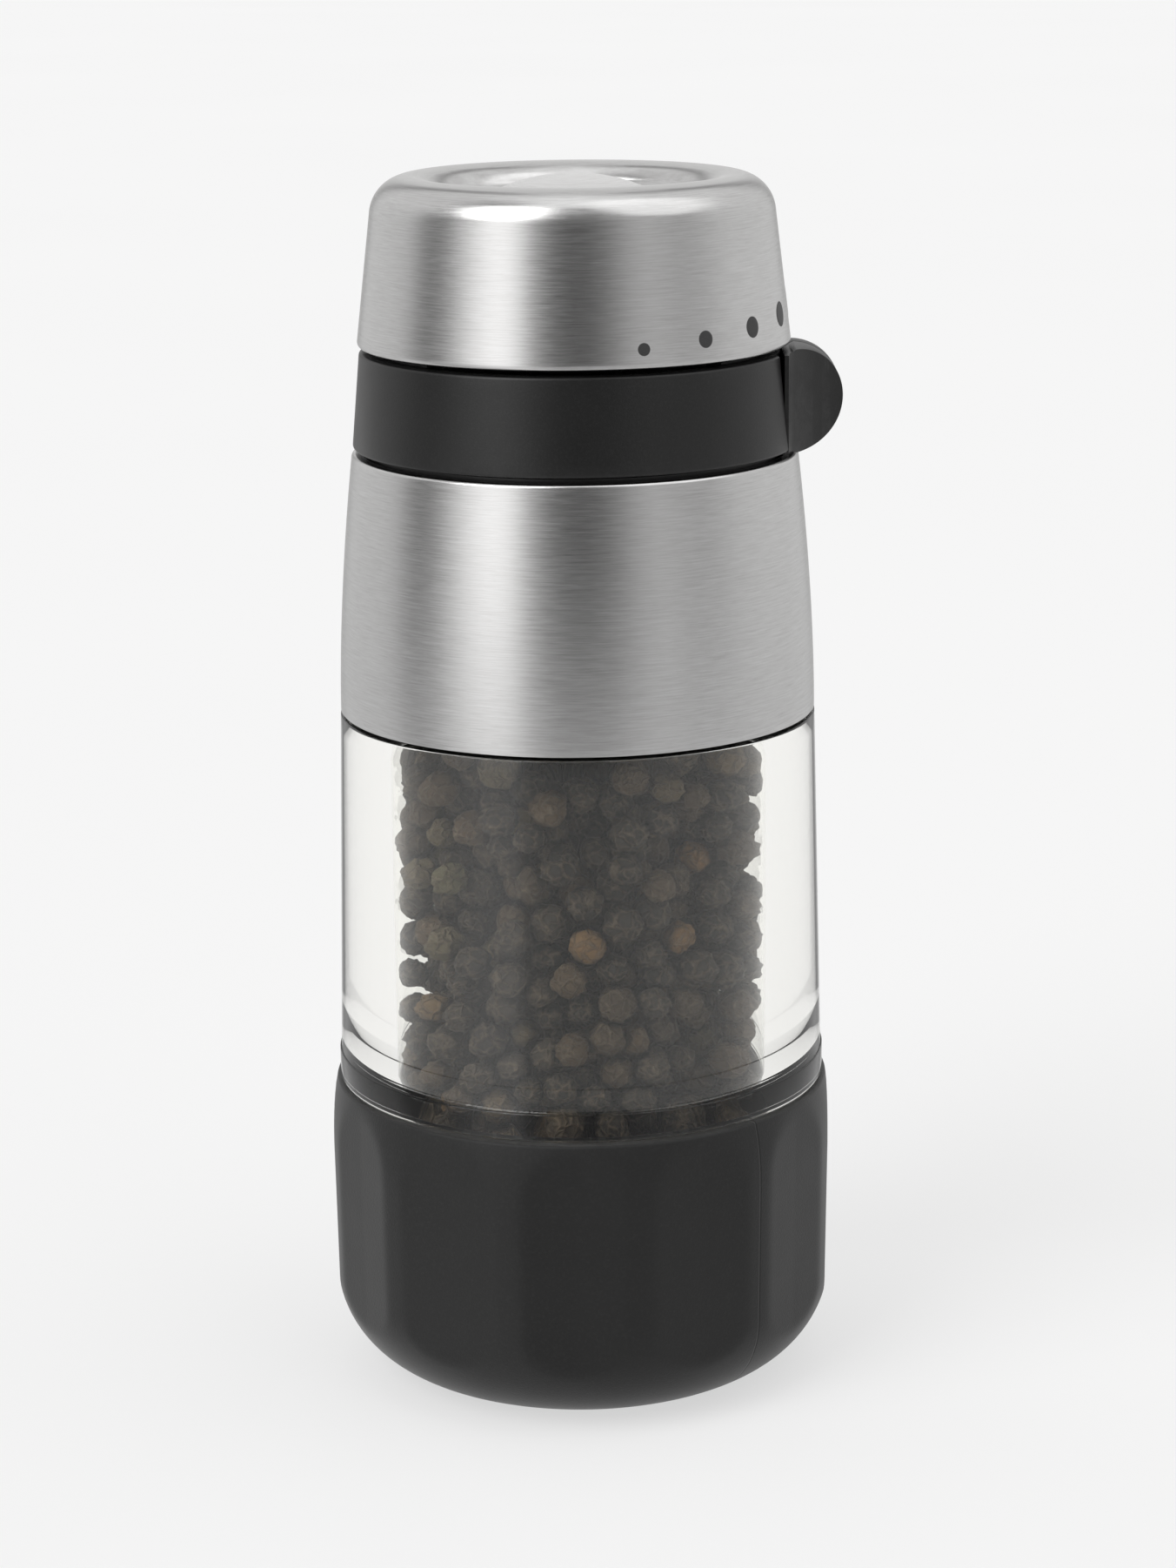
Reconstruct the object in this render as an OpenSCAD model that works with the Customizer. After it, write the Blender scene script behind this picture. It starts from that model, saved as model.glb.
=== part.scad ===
// Hand pepper mill: a fluted base and clear chamber under a brushed steel grinding head.
// The origin is the centre of the resting face, +Z is up, and the adjuster's tab points to +X.

/* [Overall] */
// Diameter at the top of the clear chamber
body_d = 58.7; // [50:0.1:71]
// Height of the fluted base
base_h = 37.6; // [31:0.1:50]
// Height of the window between base and collar
window_h = 47.3; // [38:0.1:60]
// Height of the steel collar
collar_h = 31.8; // [26.5:0.1:40]
// Height of the adjuster band
band_h = 11.6; // [10:0.1:15]
// Height of the steel cap
cap_h = 20.4; // [17:0.1:26]
// Open seam below and above the adjuster band
seam = 0.65; // [0.5:0.05:1]

/* [Base] */
// How far the lands between the flutes stand out past the chamber
base_proud = 1.5; // [1:0.1:3]
// Number of flutes round the base
flutes = 12; // [8:1:12]
// Turn of the flutes at rest, as the base may stop anywhere under the head
flute_turn = 13; // [0:1:29]
// Depth of each flute at its middle
flute_depth = 0.65; // [0.4:0.05:1]
// Radius of the rounding between the side and the bottom
foot_round = 12.3; // [10:0.1:14]
// Radius of the rounding at the top edge of the grip
lip_round = 1.2; // [0.5:0.1:1.8]
// Wall of the soft grip sleeve at the flutes
sleeve_wall = 2.05; // [1.6:0.05:2.6]
// Wall of the stiff core under the grip
core_wall = 2; // [1.5:0.1:2.5]
// Diameter of the circle that the base screws stand on
screw_circle_d = 26; // [20:0.5:30]
// Diameter of a base screw's shank
screw_d = 2.5; // [2:0.1:3]

/* [Chamber] */
// How much wider the chamber is at its foot than at its top, on the radius
chamber_draw = 0.95; // [0:0.05:1.5]
// Wall of the chamber at its top
chamber_wall = 5.95; // [4.9:0.05:7.2]
// Thickness of the chamber's floor
floor_t = 4; // [3.6:0.1:6]
// Height of the flange at the foot of the window
flange_h = 3.5; // [2:0.1:6]
// How far that flange stands out
flange_proud = 0.2; // [0.1:0.05:0.6]
// Height of the neck that enters the collar
neck_h = 9.5; // [8:0.1:11.5]
// Wall of the neck
neck_wall = 2; // [1.6:0.1:2.4]
// How much wider the mouth is than the bore, on the radius
mouth_flare = 1.2; // [0.6:0.1:1.5]
// Height of the taper from the mouth to the bore
mouth_taper = 7; // [4:0.5:12]

/* [Head] */
// Thickness of the steel collar and cap
steel_t = 0.6; // [0.5:0.05:0.8]
// How much narrower the collar is at its top, on the radius
collar_draw = 2.1; // [0.5:0.1:2.5]
// How fast the collar's side curves in
collar_curve = 1.75; // [1:0.05:2.5]
// How much narrower the band is at its top, on the radius
band_draw = 0.95; // [0.2:0.05:1.1]
// How much narrower the cap's side is at its rim, on the radius
cap_draw = 1.87; // [0.5:0.05:2.5]
// Radius of the cap's rim rounding
rim_round = 4.77; // [3.8:0.1:5.2]
// Diameter of the outlet inside the dish
outlet_d = 24.4; // [22:0.2:26]
// Diameter of the dome in the outlet
dome_d = 20; // [18:0.2:21]
// Height of the dome's crown over its edge
dome_rise = 2.3; // [1:0.1:3]
// How far the tab stands out past the band's top
tab_reach = 6.5; // [4:0.1:8]
// Width of the tab's front layer
tab_front_w = 11.2; // [9:0.1:13]
// Width of the tab's back layer
tab_back_w = 3; // [2:0.1:4]
// Slot between the two layers
tab_slot = 0.25; // [0.1:0.05:0.4]

/* [Grinder] */
// Diameter of the drive shaft
shaft_d = 6; // [5:0.1:6.6]
// Height of the outer burr
burr_h = 14; // [12:0.1:15.5]
// Wall of the outer burr at its exit
burr_wall = 3.2; // [2.7:0.1:3.8]
// Gap between the burrs at the coarsest setting
burr_gap = 1; // [0.9:0.05:1.3]
// Spread of the burr cone, radius per height
burr_slope = 0.44; // [0.36:0.01:0.5]
// Lift of the outer burr from the coarsest to the finest setting
size_travel = 1.2; // [0.8:0.05:1.4]
// Number of grind sizes
size_steps = 5; // [3:1:5]
// Angle between two grind sizes
step_angle = 18; // [12:1:18]
// Diameter of the smallest size mark
mark_d = 1.5; // [1:0.1:2]
// Growth of the diameter from each mark to the next
mark_growth = 0.5; // [0.2:0.05:0.6]
// Height of the smallest mark's centre over the cap's lower edge
mark_h = 2.35; // [2:0.05:4]
// Rise from each mark to the next
mark_rise = 0.63; // [0:0.01:0.8]

/* [Fits] */
// Gap between pieces that move past each other
run_gap = 0.3; // [0.25:0.05:0.4]
// Gap between pieces that are pushed together
fit_gap = 0.1; // [0.05:0.05:0.15]
// Radial clearance of the shaft in its bush, and of screws in their holes
shaft_gap = 0.05; // [0.02:0.01:0.1]

/* [Hidden] */
$fn = 96;
eps = 0.01;

// Heights of the seams from the bottom up
collar_z = base_h + window_h;
band_z = collar_z + collar_h + seam;
band_top_z = band_z + band_h;
cap_z = band_top_z + seam;
top_z = cap_z + cap_h;

// Outer radii from the foot of the window to the cap's rim
top_r = body_d / 2;
foot_r = top_r + chamber_draw;
land_r = foot_r + base_proud;
flute_r = land_r - flute_depth;
collar_inset = 0.05;
collar_r = top_r - collar_inset;
collar_top_r = collar_r - collar_draw;
band_inset = 0.15;
band_r = collar_top_r - band_inset;
band_top_r = band_r - band_draw;
cap_overhang = 0.24;
cap_r = band_top_r + cap_overhang;
rim_r = cap_r - cap_draw;
crest_r = rim_r - rim_round;
cap_lean = cap_draw / (cap_h - rim_round);

// Base: the sleeve, core and chamber share the centre of their bottom rounding
round_r = land_r - foot_round;
sleeve_in_r = flute_r - sleeve_wall;
core_r = sleeve_in_r - fit_gap;
core_in_r = core_r - core_wall;
skirt_r = core_in_r - fit_gap;
sleeve_z = 0.3;
core_z = foot_round - (core_r - round_r);
core_floor_t = 3.2;
core_floor_z = core_z + core_floor_t;
seat_z = base_h + run_gap;
pad_r = round_r - 0.5;
screw_n = 3;
screw_head_r = screw_d;
screw_head_h = 1.6;
screw_bite = 3.2;

// Chamber
bore_r = top_r - chamber_wall;
mouth_r = bore_r + mouth_flare;
neck_r = mouth_r + neck_wall;
tube_z = core_floor_z + run_gap;
floor_z = tube_z + floor_t;
floor_round = 2;
shoulder_z = collar_z - 0.4;
neck_z = shoulder_z + neck_h;
key_n = 3;
key_w = 4;
key_h = 3.6;

// Drive plug
plug_r = mouth_r - fit_gap;
plug_wall = 2.2;
plug_in_r = plug_r - plug_wall;
plug_z = collar_z + 1.1;
plug_lip_t = 1.4;
plug_lip_z = neck_z + plug_lip_t;
arm_w = 4;
arm_h = 5;
boss_r = shaft_d / 2 + 3.5;
boss_z = plug_lip_z + 0.6;
seal_r = 1;
seal_z = plug_z + 2.8;

// Adjuster and burrs, from the band inwards
band_wall = 1;
ring_r = band_top_r - band_wall - fit_gap;
band_in_r = ring_r + fit_gap;
ring_wall = 1.1;
ring_in_r = ring_r - ring_wall;
post_r = ring_in_r - run_gap;
post_t = 2.4;
post_in_r = post_r - post_t;
post_n = 3;
post_a = 90;
post_half = 13;
finger_half = 8;
finger_h = 3;
finger_z = band_z + 2.65;
finger_a = post_a - post_half - finger_half - 3;
carrier_r = post_in_r - run_gap;
carrier_wall = 1.2;
carrier_in_r = carrier_r - carrier_wall;
groove_depth = 1;
groove_r = carrier_r - groove_depth;
groove_z = finger_z - size_travel - run_gap;
groove_top_z = finger_z + finger_h + run_gap;
carrier_z = boss_z;
carrier_top_z = groove_top_z + 2.2;
rib_w = 2.4;
rib_proud = 1.1;
rib_z = carrier_z + 3;
rib_h = 9;
clip_z = carrier_z + 0.6;
clip_t = 0.8;
burr_z = clip_z + clip_t + fit_gap;
burr_top_z = burr_z + burr_h;
burr_r = carrier_in_r - shaft_gap;
exit_r = burr_r - burr_wall;
ledge_r = burr_r - 1.3;
inner_z = boss_z;
inner_top_z = burr_top_z + 0.5;
inner_exit_r = exit_r - burr_gap;
function inner_burr_r(z) = inner_exit_r - burr_slope * (burr_top_z - z);
throat_z = burr_z + burr_h / 2;
washer_t = 1.4;
washer_r = shaft_d / 2 + 4.5;

// Cap core, bush and dome
core_hub_z = inner_top_z + washer_t + run_gap;
core_plate_z = cap_z + run_gap;
core_plate_t = 2.4;
core_cone_top_z = top_z - rim_round - 1.8;
core_shell_t = 1.2;
funnel_r = post_in_r - 0.8;
funnel_top_r = outlet_d / 2 - 0.2;
funnel_top_z = top_z - 5.7;
funnel_t = 1.3;
funnel_lean = (funnel_r - funnel_top_r) / (funnel_top_z - core_plate_z);
bush_wall = 1.6;
bush_r = shaft_d / 2 + shaft_gap + bush_wall;
hub_r = bush_r + 1.2;
cup_r = dome_d / 2 - 1.6;
cup_in_r = cup_r - 1.4;
cup_floor_z = core_plate_z + 3.1;
cup_top_z = top_z - 4.6;
bush_flange_t = 1;
shaft_clip_z = cup_floor_z + bush_flange_t + run_gap;
shaft_clip_t = 0.8;
shaft_top_z = shaft_clip_z + shaft_clip_t + 1.4;
spoke_n = 3;
spoke_w = 3;
spoke_h = 4;
core_screw_r = (post_r + post_in_r) / 2;
core_screw_d = 1.6;
core_screw_head_r = 1.35;
core_screw_head_h = 1.1;
core_screw_bite = 7;

// Click spring under the adjuster ring
boss_top_z = band_z - run_gap;
leaf_a = post_a + 60;
leaf_half = 12;
leaf_t = 0.25;
leaf_drop = 0.8;
bump_r = 0.45;

// Tab, whose front face lies a little further from the middle than its back
tab_w = tab_front_w + tab_slot + tab_back_w;
tab_y = -(tab_w / 2 + 1.6);
tip_t = 3.6;
seam_x = sqrt(pow((band_r + band_top_r) / 2, 2) - tab_y * tab_y);
tip_x = band_top_r + tab_reach;
tip_y = tab_y + tab_front_w - tip_t;
scoop_r = 18;
scoop_chord = norm([tip_x - seam_x, tip_y - tab_y]);
scoop_rise = sqrt(scoop_r * scoop_r - scoop_chord * scoop_chord / 4);
scoop_x = (seam_x + tip_x) / 2 + scoop_rise * (tip_y - tab_y) / scoop_chord;
scoop_y = (tab_y + tip_y) / 2 - scoop_rise * (tip_x - seam_x) / scoop_chord;

// Collar and cap radii at a height
function collar_at(z) = collar_r - collar_draw * pow(max(0, z - collar_z) / collar_h, collar_curve);
function cap_at(z) = cap_r - cap_lean * (z - cap_z);

// Points of an arc from angle a0 to a1
function arc(cx, cy, r, a0, a1, n = 12) =
    [for (i = [0:n]) let (a = a0 + (a1 - a0) * i / n) [cx + r * cos(a), cy + r * sin(a)]];

// Points of the side of a cup of radius r from height z0, round its bottom edge, to height z1
function cup_side(r, z0, z1) =
    let (edge_r = r - round_r, a0 = asin(max(-1, (z0 - foot_round) / edge_r)))
    concat(arc(round_r, foot_round, edge_r, a0, 0), [[r, z1]]);

function backwards(points) = [for (i = [len(points) - 1:-1:0]) points[i]];

// Part of a ring between two radii and heights, centred on an angle
module ring_sector(r0, r1, z0, z1, mid, half) {
    reach = 2 * r1;
    intersection() {
        translate([0, 0, z0]) difference() {
            cylinder(r = r1, h = z1 - z0);
            translate([0, 0, -1]) cylinder(r = r0, h = z1 - z0 + 2);
        }
        translate([0, 0, z0 - 1]) linear_extrude(z1 - z0 + 2)
            polygon([[0, 0], [reach * cos(mid - half), reach * sin(mid - half)],
                [reach * cos(mid), reach * sin(mid)], [reach * cos(mid + half), reach * sin(mid + half)]]);
    }
}

// Copies round the axis
module around(n, first = 0) {
    for (i = [0:n - 1]) rotate([0, 0, first + i * 360 / n]) children();
}

// Crossed recess in a screw head, opening downwards at height z
module cross_recess(w, depth) {
    for (a = [0, 90]) rotate([0, 0, a]) translate([-w, -w / 5, -eps]) cube([2 * w, w / 2.5, depth]);
}

// ---------------------------------------------------------------- base and chamber

module grip_sleeve() {
    color("#333335") intersection() {
        rotate_extrude() polygon(concat(
            [[pad_r + run_gap, sleeve_z]],
            cup_side(land_r, sleeve_z, base_h - lip_round),
            arc(land_r - lip_round, base_h - lip_round, lip_round, 0, 90, 6),
            [[sleeve_in_r, base_h], [sleeve_in_r, foot_round]],
            arc(round_r, foot_round, sleeve_in_r - round_r, 0, -90),
            [[pad_r + run_gap, foot_round - (sleeve_in_r - round_r)]]));
        rotate([0, 0, flute_turn]) translate([0, 0, -1])
            cylinder(r = flute_r / cos(180 / flutes), h = base_h + 2, $fn = flutes);
    }
}

module base_core() {
    color("#222224") difference() {
        rotate_extrude() polygon(concat(
            [[0, core_z]],
            cup_side(core_r, core_z, seat_z),
            backwards(cup_side(core_in_r, core_floor_z, seat_z)),
            [[0, core_floor_z]]));
        around(screw_n, 90) translate([screw_circle_d / 2, 0, 0]) {
            translate([0, 0, core_z - 1]) cylinder(r = screw_head_r + fit_gap, h = 1 + screw_head_h);
            cylinder(r = screw_d / 2 + shaft_gap, h = core_floor_z + 1);
        }
    }
}

module foot_pad() {
    groove_w = 1;
    groove_d = 0.5;
    color("#2b2b2c") difference() {
        cylinder(r = pad_r, h = core_z);
        for (r = [pad_r - 3, pad_r - 6]) translate([0, 0, -1]) difference() {
            cylinder(r = r, h = 1 + groove_d);
            translate([0, 0, -1]) cylinder(r = r - groove_w, h = 3);
        }
    }
}

module base_screws() {
    color("#b9babb") around(screw_n, 90) translate([screw_circle_d / 2, 0, 0]) difference() {
        union() {
            translate([0, 0, core_z + eps]) cylinder(r = screw_head_r, h = screw_head_h - eps);
            translate([0, 0, core_z + screw_head_h - eps])
                cylinder(r = screw_d / 2, h = core_floor_t - screw_head_h + run_gap + screw_bite);
        }
        translate([0, 0, core_z]) cross_recess(screw_head_r * 0.6, 0.9);
    }
}

module chamber_tube() {
    color([0.93, 0.94, 0.92, 0.35]) difference() {
        rotate_extrude() polygon(concat(
            [[0, tube_z]],
            cup_side(skirt_r, tube_z, seat_z),
            [[foot_r + flange_proud, seat_z], [foot_r + flange_proud, seat_z + flange_h],
                [foot_r, seat_z + flange_h], [top_r, shoulder_z], [neck_r, shoulder_z],
                [neck_r, neck_z], [mouth_r, neck_z], [mouth_r, collar_z],
                [bore_r, collar_z - mouth_taper], [bore_r, floor_z + floor_round]],
            arc(bore_r - floor_round, floor_z + floor_round, floor_round, 0, -90, 4),
            [[0, floor_z]]));
        around(screw_n, 90) translate([screw_circle_d / 2, 0, tube_z - 1])
            cylinder(r = screw_d / 2 + shaft_gap, h = 1 + screw_bite + fit_gap);
        around(key_n, post_a) translate([bore_r, -key_w / 2 - fit_gap, neck_z - key_h - fit_gap])
            cube([neck_r, key_w + 2 * fit_gap, key_h + 1]);
    }
}

// ---------------------------------------------------------------- drive, lifts off with the head

// Two flats on a round of radius r
module flatted(r, h, gap = 0) {
    intersection() {
        cylinder(r = r + gap, h = h);
        translate([-r - 1, -r * 0.8 - gap, -1]) cube([2 * r + 2, r * 1.6 + 2 * gap, h + 2]);
    }
}

module drive_plug() {
    color("#2a2a2b") difference() {
        union() {
            rotate_extrude() polygon([[plug_in_r, plug_z], [plug_r - 0.6, plug_z], [plug_r, plug_z + 0.6],
                [plug_r, neck_z], [neck_r - fit_gap, neck_z], [neck_r - fit_gap, plug_lip_z],
                [plug_in_r, plug_lip_z]]);
            translate([0, 0, plug_z]) cylinder(r = boss_r, h = boss_z - plug_z);
            around(key_n, post_a) translate([0, -arm_w / 2, neck_z - arm_h])
                cube([plug_in_r + plug_wall / 2, arm_w, arm_h]);
            around(key_n, post_a) translate([plug_r - 1, -key_w / 2, neck_z - key_h])
                cube([neck_wall + 1 - fit_gap, key_w, key_h + plug_lip_t / 2]);
        }
        translate([0, 0, plug_z - 1]) flatted(shaft_d / 2, boss_z - plug_z + 2, shaft_gap);
        translate([0, 0, seal_z - seal_r]) difference() {
            cylinder(r = plug_r + 1, h = 2 * seal_r);
            translate([0, 0, -1]) cylinder(r = plug_r - 2 * seal_r, h = 4 * seal_r);
        }
    }
}

module plug_seal() {
    color("#151515") translate([0, 0, seal_z]) rotate_extrude()
        translate([plug_r - seal_r, 0]) circle(r = seal_r - shaft_gap);
}

module drive_shaft() {
    thread_h = 4;
    color("#c9cacc") difference() {
        union() {
            translate([0, 0, plug_z - thread_h]) cylinder(r = shaft_d * 0.4, h = thread_h + eps);
            translate([0, 0, plug_z]) flatted(shaft_d / 2, inner_top_z - plug_z + eps);
            translate([0, 0, inner_top_z]) cylinder(r = shaft_d / 2, h = shaft_top_z - inner_top_z);
        }
        translate([0, 0, shaft_clip_z - shaft_gap]) difference() {
            cylinder(r = shaft_d, h = shaft_clip_t + 2 * shaft_gap);
            translate([0, 0, -1]) cylinder(r = shaft_d * 0.38, h = shaft_clip_t + 2);
        }
    }
}

module feed_cone() {
    tip_r = 1.6;
    tip_h = 6.8;
    wide_r = shaft_d / 2 + 6.4;
    rim_h = 1.2;
    color("#1c1c1d") difference() {
        rotate_extrude() polygon(concat([[0, plug_z - tip_h - 1.4]],
            arc(0, plug_z - tip_h - 1.4 + tip_r, tip_r, -90, -38, 5),
            [[wide_r, plug_z - rim_h], [wide_r, plug_z], [0, plug_z]]));
        translate([0, 0, plug_z - 4 - fit_gap]) cylinder(r = shaft_d * 0.4 + shaft_gap, h = 5);
    }
}

// Slanted cutters laid along a cone at radius r and height z
module teeth(n, r, z, slope, w, depth, skew) {
    around(n) translate([r, 0, z]) rotate([skew, atan(slope), 0])
        translate([-depth, -w / 2, -burr_h]) cube([2 * depth, w, 2 * burr_h]);
}

module inner_burr() {
    hub_h = inner_top_z - inner_z;
    color("#d8d4c8") difference() {
        rotate_extrude() polygon([[0, inner_z], [inner_burr_r(inner_z), inner_z],
            [inner_burr_r(burr_top_z), burr_top_z], [inner_burr_r(burr_top_z) - 0.5, inner_top_z],
            [0, inner_top_z]]);
        translate([0, 0, inner_z - 1]) flatted(shaft_d / 2, hub_h + 2, shaft_gap);
        teeth(12, inner_burr_r(throat_z), throat_z, burr_slope, 1.4, 1.1, 24);
    }
}

module thrust_washer() {
    color("#e9e7e0") translate([0, 0, inner_top_z]) difference() {
        cylinder(r = washer_r, h = washer_t);
        translate([0, 0, -1]) cylinder(r = shaft_d / 2 + shaft_gap, h = washer_t + 2);
    }
}

module shaft_clip() {
    color("#8f9194") translate([0, 0, shaft_clip_z]) difference() {
        cylinder(r = shaft_d / 2 + 2, h = shaft_clip_t);
        translate([0, 0, -1]) cylinder(r = shaft_d * 0.38 + shaft_gap, h = shaft_clip_t + 2);
        translate([0, -shaft_d * 0.36, -1]) cube([shaft_d, shaft_d * 0.72, shaft_clip_t + 2]);
    }
}

// ---------------------------------------------------------------- head

module steel_collar() {
    n = 12;
    lip_w = 0.8;
    edge = 0.4;
    zs = [for (i = [0:n]) collar_z + (collar_h - edge) * i / n];
    color("#bcbdbf") rotate_extrude() polygon(concat(
        [for (z = zs) [collar_at(z), z]],
        [[collar_top_r - edge, collar_z + collar_h], [collar_top_r - steel_t - lip_w, collar_z + collar_h],
            [collar_top_r - steel_t - lip_w, collar_z + collar_h - steel_t]],
        [for (i = [n:-1:0]) [collar_at(zs[i]) - steel_t, min(zs[i], collar_z + collar_h - steel_t)]]));
}

module head_frame() {
    skirt_z = collar_z + 0.5;
    deck_z = plug_lip_z + 0.5;
    deck_t = 2.1;
    shelf_z = boss_top_z - 3.3;
    shelf_top_z = collar_z + collar_h - steel_t - 0.2;
    boss_out_r = band_in_r + 0.2;
    collar_gap = steel_t + fit_gap;
    color("#262627") difference() {
        union() {
            rotate_extrude() polygon([[neck_r + run_gap, skirt_z], [collar_at(skirt_z) - collar_gap, skirt_z],
                [collar_at(deck_z + deck_t) - collar_gap, deck_z + deck_t], [post_r, deck_z + deck_t],
                [post_r, shelf_z], [collar_at(shelf_z) - collar_gap, shelf_z],
                [collar_at(shelf_top_z) - collar_gap, shelf_top_z],
                [boss_out_r, shelf_top_z], [boss_out_r, boss_top_z], [post_in_r, boss_top_z],
                [post_in_r, deck_z], [neck_r + run_gap, deck_z]]);
            for (i = [0:post_n - 1])
                ring_sector(post_in_r, post_r, boss_top_z - 1, core_plate_z,
                    post_a + i * 360 / post_n, post_half);
        }
        around(post_n, post_a + 60) translate([0, -rib_w / 2 - run_gap, deck_z - 1])
            cube([carrier_r + rib_proud + run_gap, rib_w + 2 * run_gap,
                rib_z + rib_h + size_travel + 1 - deck_z + 1]);
        around(post_n, post_a) translate([core_screw_r, 0, core_plate_z - core_screw_bite - fit_gap])
            cylinder(r = core_screw_d / 2 + shaft_gap, h = core_screw_bite + 1);
        ring_sector(ring_in_r - fit_gap, ring_r, boss_top_z - leaf_drop, boss_top_z + 1, leaf_a,
            leaf_half + 1);
        ring_sector(ring_in_r - fit_gap, ring_r, boss_top_z - leaf_drop - bump_r, boss_top_z + 1, leaf_a,
            leaf_half / 2);
    }
}

module mark_pins(gap) {
    for (i = [0:size_steps - 1]) rotate([0, 0, (i - size_steps + 1) * step_angle])
        translate([cap_r - 4, 0, cap_z + mark_h + mark_rise * i]) rotate([0, 90, 0])
            cylinder(r = (mark_d + mark_growth * i) / 2 + gap, h = 6);
}

// Skin of the cap's side from depth d0 to d1 under its outer face
module cap_skin(d0, d1) {
    z0 = cap_z + 0.4;
    z1 = cap_z + 8;
    rotate_extrude() polygon([[cap_at(z0) - d0, z0], [cap_at(z0) - d1, z0], [cap_at(z1) - d1, z1],
        [cap_at(z1) - d0, z1]]);
}

module top_cap() {
    hem = 0.55;
    lip_h = 1;
    lean_a = atan(cap_lean);
    dish_a = 150;
    rim_z = top_z - rim_round;
    inner_round = rim_round - steel_t;
    lip_z = rim_z + rim_round * sin(dish_a) - (crest_r + rim_round * cos(dish_a) - outlet_d / 2) * 0.55;
    color("#c4c5c7") difference() {
        rotate_extrude() polygon(concat(
            [[cap_r - steel_t, cap_z]],
            arc(cap_r - hem, cap_z + hem, hem, -90, 0, 4),
            arc(crest_r, rim_z, rim_round, lean_a, dish_a, 16),
            [[outlet_d / 2, lip_z], [outlet_d / 2, lip_z - lip_h], [outlet_d / 2 + steel_t, lip_z - lip_h],
                [outlet_d / 2 + steel_t, lip_z - 0.3]],
            arc(crest_r, rim_z, inner_round, dish_a, lean_a, 16)));
        intersection() {
            mark_pins(shaft_gap);
            cap_skin(0.33, -1);
        }
    }
}

module cap_core() {
    side_gap = steel_t + fit_gap;
    plate_top_z = core_plate_z + core_plate_t;
    funnel_at_plate = funnel_r - funnel_lean * core_plate_t;
    color("#202021") difference() {
        union() {
            rotate_extrude() polygon([[funnel_r, core_plate_z],
                [cap_at(core_plate_z) - side_gap, core_plate_z],
                [cap_at(core_cone_top_z) - side_gap, core_cone_top_z],
                [cap_at(core_cone_top_z) - side_gap - core_shell_t, core_cone_top_z],
                [cap_at(plate_top_z) - side_gap - core_shell_t, plate_top_z],
                [funnel_at_plate + funnel_t, plate_top_z], [funnel_top_r + funnel_t, funnel_top_z],
                [funnel_top_r, funnel_top_z]]);
            rotate_extrude() polygon([[bush_r + shaft_gap, core_hub_z], [hub_r, core_hub_z],
                [hub_r, cup_floor_z - 2], [cup_r, cup_floor_z + 0.6], [cup_r, cup_top_z],
                [cup_in_r, cup_top_z], [cup_in_r, cup_floor_z], [bush_r + shaft_gap, cup_floor_z]]);
            intersection() {
                around(spoke_n, post_a) translate([hub_r - 0.6, -spoke_w / 2, core_plate_z])
                    cube([funnel_r, spoke_w, spoke_h]);
                rotate_extrude() polygon([[0, core_plate_z], [funnel_r + funnel_t / 2, core_plate_z],
                    [funnel_top_r + funnel_t / 2, funnel_top_z], [0, funnel_top_z]]);
            }
        }
        translate([0, 0, core_hub_z - 1]) cylinder(r = bush_r + shaft_gap, h = cup_floor_z - core_hub_z + 1.5);
        translate([0, 0, cup_floor_z]) cylinder(r = cup_in_r, h = spoke_h);
        around(post_n, post_a) translate([core_screw_r, 0, core_plate_z - 1])
            cylinder(r = core_screw_d / 2 + shaft_gap, h = core_plate_t + 2);
    }
}

module dome() {
    r = dome_d / 2;
    shell = 0.8;
    edge_z = top_z - dome_rise;
    crown_r = (r * r + dome_rise * dome_rise) / (2 * dome_rise);
    edge_a = asin(r / crown_r);
    sleeve_r = cup_in_r - fit_gap;
    sleeve_h = 4;
    color("#c8c9cb") rotate_extrude() polygon(concat(
        arc(0, top_z - crown_r, crown_r, 90, 90 - edge_a, 12),
        [[r, edge_z - 0.5], [r - shell, edge_z - 0.7], [sleeve_r, edge_z - 0.7],
            [sleeve_r, edge_z - sleeve_h], [sleeve_r - 1, edge_z - sleeve_h], [sleeve_r - 1, edge_z - 0.4],
            [0, edge_z - 0.4 + dome_rise - shell]]));
}

module shaft_bush() {
    color("#b08d57") difference() {
        union() {
            translate([0, 0, core_hub_z + 1]) cylinder(r = bush_r, h = cup_floor_z - core_hub_z - 1 + eps);
            translate([0, 0, cup_floor_z]) cylinder(r = bush_r + 0.8, h = bush_flange_t);
        }
        translate([0, 0, core_hub_z]) cylinder(r = shaft_d / 2 + shaft_gap, h = cup_floor_z - core_hub_z + 3);
    }
}

module grind_marks() {
    color("#4a4a4b") intersection() {
        mark_pins(0);
        cap_skin(0.3, 0);
    }
}

module core_screws() {
    head_z = core_plate_z + core_plate_t;
    color("#b9babb") around(post_n, post_a) translate([core_screw_r, 0, 0]) difference() {
        union() {
            translate([0, 0, head_z]) cylinder(r = core_screw_head_r, h = core_screw_head_h);
            translate([0, 0, core_plate_z - core_screw_bite])
                cylinder(r = core_screw_d / 2, h = core_screw_bite + core_plate_t + eps);
        }
        translate([0, 0, head_z + core_screw_head_h - 0.5]) cross_recess(core_screw_head_r * 0.65, 1);
    }
}

module click_leaf() {
    leaf_z = boss_top_z - leaf_drop + eps;
    leaf_in_r = ring_in_r;
    leaf_out_r = ring_r - fit_gap;
    color("#a5a7aa") union() {
        ring_sector(leaf_in_r, leaf_out_r, leaf_z, leaf_z + leaf_t, leaf_a, leaf_half);
        rotate([0, 0, leaf_a]) translate([leaf_in_r + 0.05, 0, leaf_z + leaf_t / 2]) rotate([0, 90, 0])
            cylinder(r = bump_r, h = leaf_out_r - leaf_in_r - 0.1);
    }
}

// ---------------------------------------------------------------- adjuster

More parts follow.
